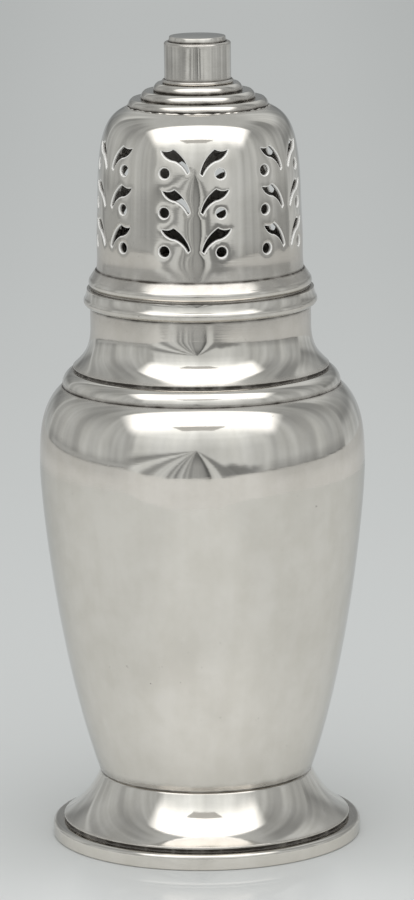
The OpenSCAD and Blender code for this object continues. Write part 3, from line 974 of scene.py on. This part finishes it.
def silver(name, polish, scuff, dim):
    """Old silver: polish is its least roughness, scuff what handling adds, dim its dark streaks."""
    material, graph = new_graph(name)
    place = graph.add("TexCoord", {}).outputs["Object"]
    patches = graph.noise(place, 22 * MM, 3)
    streaks = graph.noise(graph.stretch(place, (1, 1, 0.12)), 3.5 * MM, 3)
    wear = graph.noise(place, 5 * MM, 4, 0.6)
    tarnish = tarnish_depth(graph, place, wear, patches)

    cloud = graph.math("MULTIPLY_ADD", wear, 1.6, graph.math("ADD", patches, streaks))
    cloud = graph.scale(cloud, 1.45, 2.15, 0, 1, "LINEAR")
    clouded = (*(dim * part for part in CLOUDED_SILVER), 1)
    colour = graph.blend(tarnish, graph.blend(cloud, CLEAN_SILVER, clouded), TARNISHED_SILVER)
    rubbed = graph.between(graph.product(wear, patches), polish, polish + scuff)
    roughness = graph.between(tarnish, rubbed, TARNISHED_ROUGHNESS)
    metal = graph.between(tarnish, 1, TARNISHED_METAL)

    # Painted highlight: where this attribute is set, the hole rims turn matt white and lose their metal.
    rim_highlight = graph.add("Attribute", {}, attribute_name="rim_highlight").outputs["Fac"]
    rim_highlight = graph.product(rim_highlight, RIM_HIGHLIGHT_SHARE)
    colour = graph.blend(rim_highlight, colour, RIM_HIGHLIGHT_WHITE)
    roughness = graph.between(rim_highlight, roughness, RIM_HIGHLIGHT_ROUGHNESS)
    metal = graph.product(metal, graph.between(rim_highlight, 1, 0))

    shader = graph.add("BsdfPrincipled", {"Base Color": colour, "Metallic": metal, "Roughness": roughness,
                                          "Specular Tint": GRAZING_TINT,
                                          "Normal": worked_surface(graph, place)})
    graph.add("OutputMaterial", {"Surface": shader.outputs["BSDF"]})
    return material


def table_top():
    """A pale matt sheet, polished enough to show the foot faintly just under it."""
    material, graph = new_graph("pale_table")
    place = graph.add("TexCoord", {}).outputs["Object"]
    cloud = graph.noise(place, 0.35, 2)
    colour = graph.blend(cloud, TABLE_DARK, TABLE_PALE)
    x, y, _ = graph.add("SeparateXYZ", {"Vector": place}).outputs
    # Painted light: a paler patch in front of the foot, as a pool of light.
    light_pool = graph.product(graph.band(y, *LIGHT_POOL_Y), graph.band(x, *LIGHT_POOL_X), LIGHT_POOL_SHARE)
    colour = graph.blend(light_pool, colour, TABLE_LIGHT_POOL)
    # Painted shade: the table grows darker away from the middle, to each side.
    side_shade = graph.scale(graph.math("ABSOLUTE", x), *SIDE_SHADE_X)
    colour = graph.blend(side_shade, colour, TABLE_SIDE_SHADE)
    gloss = graph.product(graph.band(x, *GLOSS_X), graph.band(y, *GLOSS_Y), TABLE_GLOSS)
    shader = graph.add("BsdfPrincipled", {"Base Color": colour, "Roughness": TABLE_ROUGHNESS,
                                          "Specular IOR Level": gloss})
    graph.add("OutputMaterial", {"Surface": shader.outputs["BSDF"]})
    return material


# The tent, by its azimuth (0 in front, 90 to the right) and its climb, as seen from the caster

LENS_HOLE = (-4, 10)
# How bright the cloth is, as (angle, level): round the tent, up its front, on its skirt and up its back
CLOTH = [(-180, 0.46), (-141, 0.47), (-136, 0.36), (-122, 0.42), (-104, 0.37), (-88, 0.46), (-72, 0.44),
         (-60, 0.38), (-51, 0.37), (-47, 0.58), (-22, 0.62), (-11, 0.60), (-2, 0.54), (10, 0.56), (22, 0.62),
         (42, 0.51), (62, 0.45), (76, 0.40), (92, 0.44), (104, 0.36), (116, 0.36), (122, 0.48), (180, 0.46)]
FRONT = [(-10, 0.95), (10, 0.98), (20, 1.16), (27, 1.38), (34, 1.58), (44, 1.7)]
SKIRT = [(-24, 0.60), (-16, 0.57), (-13, 0.55), (-9, 0.47), (-6, 0.46)]
BACK = [(-10, 1.15), (0, 0.9), (9, 0.52), (20, 0.66), (40, 1.15)]
# How bright the folds are that fan out below the lens, by their swing: 0 hangs straight down
FOLDS = [(-88, 0.60), (-81, 0.48), (-78, 0.24), (-75, 0.27), (-71, 0.62), (-62, 0.25), (-57, 0.55),
         (-50, 0.50), (-45, 0.24), (-42, 0.45), (-38, 0.22), (-30, 0.48), (-24, 0.26), (-19, 0.40),
         (-14, 0.24), (-5, 0.33), (12, 0.30), (20, 0.24), (23.5, 0.09), (27.5, 0.08), (29.5, 0.56),
         (39, 0.56), (45, 0.22), (58, 0.19), (72, 0.22), (82, 0.55)]
# How bright the plain parts are
HEM_LEVEL = 0.36
ROOF_LEVEL = 0.44
PANEL_LEVEL = 1.45
SKIRT_FRONT_LEVEL = 0.61
# Stretches of the tent by azimuth, and the slit in the folds by swing, as (from, to, soft edge)
FRONT_SPAN = (-46, 40, 12)
SIDES_SPAN = (-139, 118, 3)
FOLDS_SPAN = (-46, 35, 11)
HEM_SPAN = (-130, -54, 6)
BASE_SPAN = (-130, 116, 6)
SKIRT_FRONT_SPAN = (-34, 28, 34)
SLIT_SPAN = (-12, 24, 6)


def tent_directions(graph, x, y, z):
    """The azimuth and the climb of a place on the tent, in degrees."""
    degree = math.degrees(1)
    span = graph.math("SQRT", graph.math("ADD", graph.product(x, x), graph.product(y, y)))
    rise = graph.math("SUBTRACT", z, TENT_EYE_H)
    azimuth = graph.product(graph.math("ARCTAN2", x, graph.product(y, -1)), degree)
    return azimuth, graph.product(graph.math("ARCTAN2", rise, span), degree)


def tent_folds(graph, azimuth, climb):
    """The cloth drawn in to the lens: how much of it lies at a place, and how bright it is there."""
    across = graph.math("SUBTRACT", azimuth, LENS_HOLE[0])
    drop = graph.math("SUBTRACT", LENS_HOLE[1], climb)
    swing = graph.product(graph.math("ARCTAN2", across, drop), math.degrees(1))
    ripple = graph.noise(graph.add("CombineXYZ", {"X": swing}).outputs[0], 3, 2)
    level = graph.product(graph.steps(swing, -90, 90, FOLDS),
                          graph.scale(ripple, 0.3, 0.7, 0.8, 1.2, "LINEAR"))
    slit = graph.band(swing, *SLIT_SPAN)
    level = graph.product(level, graph.between(slit, 1, graph.scale(drop, 4, 14, 0.5, 1)))

    scallop = graph.noise(graph.add("CombineXYZ", {"X": azimuth}).outputs[0], 9, 1)
    hem = graph.math("ADD", climb, graph.product(scallop, 6))
    hem = graph.math("MULTIPLY_ADD", graph.math("SUBTRACT", azimuth, 10), 0.1, hem)
    above = graph.product(graph.scale(hem, 0, 3.5), graph.scale(swing, 50, 58))
    spread = graph.product(graph.band(azimuth, *FOLDS_SPAN),
                           graph.scale(graph.math("ABSOLUTE", swing), 88, 80))
    return graph.product(spread, graph.math("SUBTRACT", 1, above)), level


def tent_wall(graph, azimuth, climb, z):
    """How bright the hanging cloth is: pleated, brightest in front, and dimmer low and high at the sides."""
    front = graph.band(azimuth, *FRONT_SPAN)
    sides = graph.band(azimuth, *SIDES_SPAN)
    lean = graph.add("CombineXYZ", {"X": azimuth, "Y": graph.product(climb, 0.1)}).outputs[0]
    ripple = graph.scale(graph.noise(lean, 8, 1), 0.3, 0.7, -1, 1, "LINEAR")
    pleats = graph.math("MULTIPLY_ADD", ripple, graph.between(front, 0.18, 0.06), 1)
    wall = graph.product(graph.steps(azimuth, -180, 180, CLOTH), pleats)
    wall = graph.product(wall, graph.between(front, 1, graph.steps(climb, -10, 44, FRONT)))
    wall = graph.product(wall, graph.between(sides, graph.steps(climb, -10, 40, BACK), 1))

    low = graph.product(sides, graph.math("SUBTRACT", 1, front), graph.scale(z, 0.11, 0.01))
    beside = graph.scale(graph.math("ABSOLUTE", azimuth), 50, 85)
    high = graph.product(sides, beside, graph.scale(climb, 12, 40))
    wall = graph.product(wall, graph.between(low, 1, 0.7), graph.between(high, 1, 0.74))
    hem = graph.product(graph.band(azimuth, *HEM_SPAN), graph.scale(z, 0.045, 0.035))
    wall = graph.between(hem, wall, HEM_LEVEL)
    wall = graph.between(graph.scale(climb, 48, 66), wall, ROOF_LEVEL)
    base = graph.product(graph.scale(z, 0.012, 0.004), graph.band(azimuth, *BASE_SPAN))
    return graph.product(wall, graph.between(base, 1, 0.4))


def tent_panel(graph, x, y):
    """How much of the bright panel lies at a place. It is wider the further it is from the caster."""
    half = graph.math("MULTIPLY_ADD", y, -PANEL_SPLAY, PANEL_HALF_W)
    outside = graph.math("SUBTRACT", graph.math("ABSOLUTE", x), half)
    return graph.product(graph.scale(outside, *PANEL_SIDE), graph.scale(y, *PANEL_BACK),
                         graph.scale(y, *PANEL_FRONT))


def tent_cloth():
    """White cloth lit from outside, drawn in to the lens, with a bright panel over the front."""
    material, graph = new_graph("tent_cloth")
    geometry = graph.add("NewGeometry", {}).outputs
    x, y, z = graph.add("SeparateXYZ", {"Vector": geometry["Position"]}).outputs
    azimuth, climb = tent_directions(graph, x, y, z)

    gathered, fold_level = tent_folds(graph, azimuth, climb)
    level = graph.between(gathered, tent_wall(graph, azimuth, climb, z), fold_level)
    panel = tent_panel(graph, x, y)
    level = graph.between(panel, level, PANEL_LEVEL)
    skirt = graph.scale(z, *SKIRT_EDGE)
    ahead = graph.band(azimuth, *SKIRT_FRONT_SPAN)
    skirt_level = graph.between(ahead, graph.steps(climb, -24, -6, SKIRT), SKIRT_FRONT_LEVEL)
    level = graph.between(skirt, level, skirt_level)

    tint = graph.blend(panel, TENT_TINT, PANEL_TINT)
    tint = graph.blend(skirt, tint, SKIRT_TINT)
    glow = graph.add("Emission", {"Color": tint, "Strength": graph.product(level, TENT_GLOW)})
    clear = graph.add("BsdfTransparent", {})
    seen = graph.add("MixShader", {0: geometry["Backfacing"], 1: glow.outputs[0], 2: clear.outputs[0]})
    graph.add("OutputMaterial", {"Surface": seen.outputs[0]})
    return material


# Scene

def silver_pieces():
    polished = silver("polished_silver", polish=0.03, scuff=0.12, dim=1)
    worn = silver("worn_silver", polish=0.04, scuff=0.1, dim=0.84)
    makers = [foot_rim, foot, body, shoulder_ring, neck, neck_ring, cover_sleeve, cover_ring, dome,
              finial_post, finial_disc]
    made = {maker.__name__: maker() for maker in makers}
    made.update({node: step(node) for node in STEPS})
    slots = {row["node"]: row["material_slot"] for row in frame["record"]["subparts"]}
    for body_name, nodes in frame["record"]["behaviour"]["bodies"].items():
        for node in nodes:
            piece = made[node]
            piece.data.materials.append(worn if slots[node] == "worn_silver" else polished)
            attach(piece, body_name)
            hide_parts(node)
    solder = step_solder()
    solder.data.materials.append(polished)
    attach(solder, "cover")


def add_floor():
    tent_r = TENT_REACH[0][1]
    vertices, faces, _ = sweep(section((FLOOR_R, 0), (tent_r, 0), (0, 0)), closed=False)
    floor = add_object("table", vertices, faces)
    floor.data.materials.append(table_top())


def tent_reach(azimuth):
    for (a, low), (b, high) in zip(TENT_REACH, TENT_REACH[1:]):
        if azimuth <= b:
            share = (azimuth - a) / (b - a)
            return low + (high - low) * share * share * (3 - 2 * share)
    return TENT_REACH[-1][1]


def reflected_only(piece):
    """Makes a piece of the studio show in reflections alone."""
    piece.visible_camera = False
    piece.visible_diffuse = False
    piece.visible_shadow = False
    piece.visible_transmission = False


def add_tent():
    """The tent's section is drawn for a wall one metre away, and spread to its reach on each side."""
    skirt = [(TENT_SKIRT_IN, TENT_SKIRT_H), (1, TENT_SKIRT_H)]
    wall = curve((1, TENT_FOOT_H), TENT_WALL_PULL, TENT_ROOF_PULL, (0, TENT_ROOF_H), 24)
    vertices, faces, _ = sweep(section(skirt, wall), closed=False)
    spread = []
    for x, y, z in vertices:
        reach = tent_reach(math.degrees(math.atan2(x, -y)))
        spread.append((x * reach, y * reach, z))
    tent = add_object("tent", spread, [face[::-1] for face in faces])
    tent.data.materials.append(tent_cloth())
    reflected_only(tent)


def add_card():
    """The dark bar over the lens, which shows as a short dash on the upright pieces."""
    card = add_object("card", [(x, y, CARD_Z) for x, y in CARD_CORNERS], [(0, 1, 2, 3)])
    material, graph = new_graph("card")
    glow = graph.add("Emission", {"Color": CARD_COLOUR, "Strength": 1})
    graph.add("OutputMaterial", {"Surface": glow.outputs[0]})
    card.data.materials.append(material)
    reflected_only(card)


def add_light():
    world = bpy.data.worlds.new("studio")
    bpy.context.scene.world = world
    world.use_nodes = True
    graph = Graph(world.node_tree)
    seen = graph.add("LightPath", {}).outputs["Is Camera Ray"]
    sky = graph.add("Background", {"Color": SKY, "Strength": 1})
    backdrop = graph.add("Background", {"Color": BACKDROP, "Strength": 1})
    both = graph.add("MixShader", {0: seen, 1: sky.outputs[0], 2: backdrop.outputs[0]})
    graph.add("OutputWorld", {"Surface": both.outputs[0]})

    lamp = bpy.data.lights.new("overhead", "AREA")
    lamp.shape = "DISK"
    lamp.size = LAMP_SIZE
    lamp.energy = LAMP_POWER
    holder = bpy.data.objects.new("overhead", lamp)
    holder.location = LAMP_PLACE
    holder.visible_glossy = False
    bpy.context.scene.collection.objects.link(holder)


def add_camera():
    camera = bpy.data.cameras.new("camera")
    camera.sensor_width = CAMERA_SENSOR
    camera.lens = CAMERA_LENS
    holder = bpy.data.objects.new("camera", camera)
    holder.location = CAMERA_PLACE
    pitch = Euler((math.radians(90 + CAMERA_PITCH), 0, 0)).to_matrix()
    roll = Euler((0, 0, math.radians(CAMERA_ROLL))).to_matrix()
    holder.rotation_euler = (pitch @ roll).to_euler()
    bpy.context.scene.collection.objects.link(holder)
    bpy.context.scene.camera = holder


bpy.context.scene.view_settings.view_transform = "Standard"
add_camera()
add_floor()
add_tent()
add_card()
add_light()
silver_pieces()
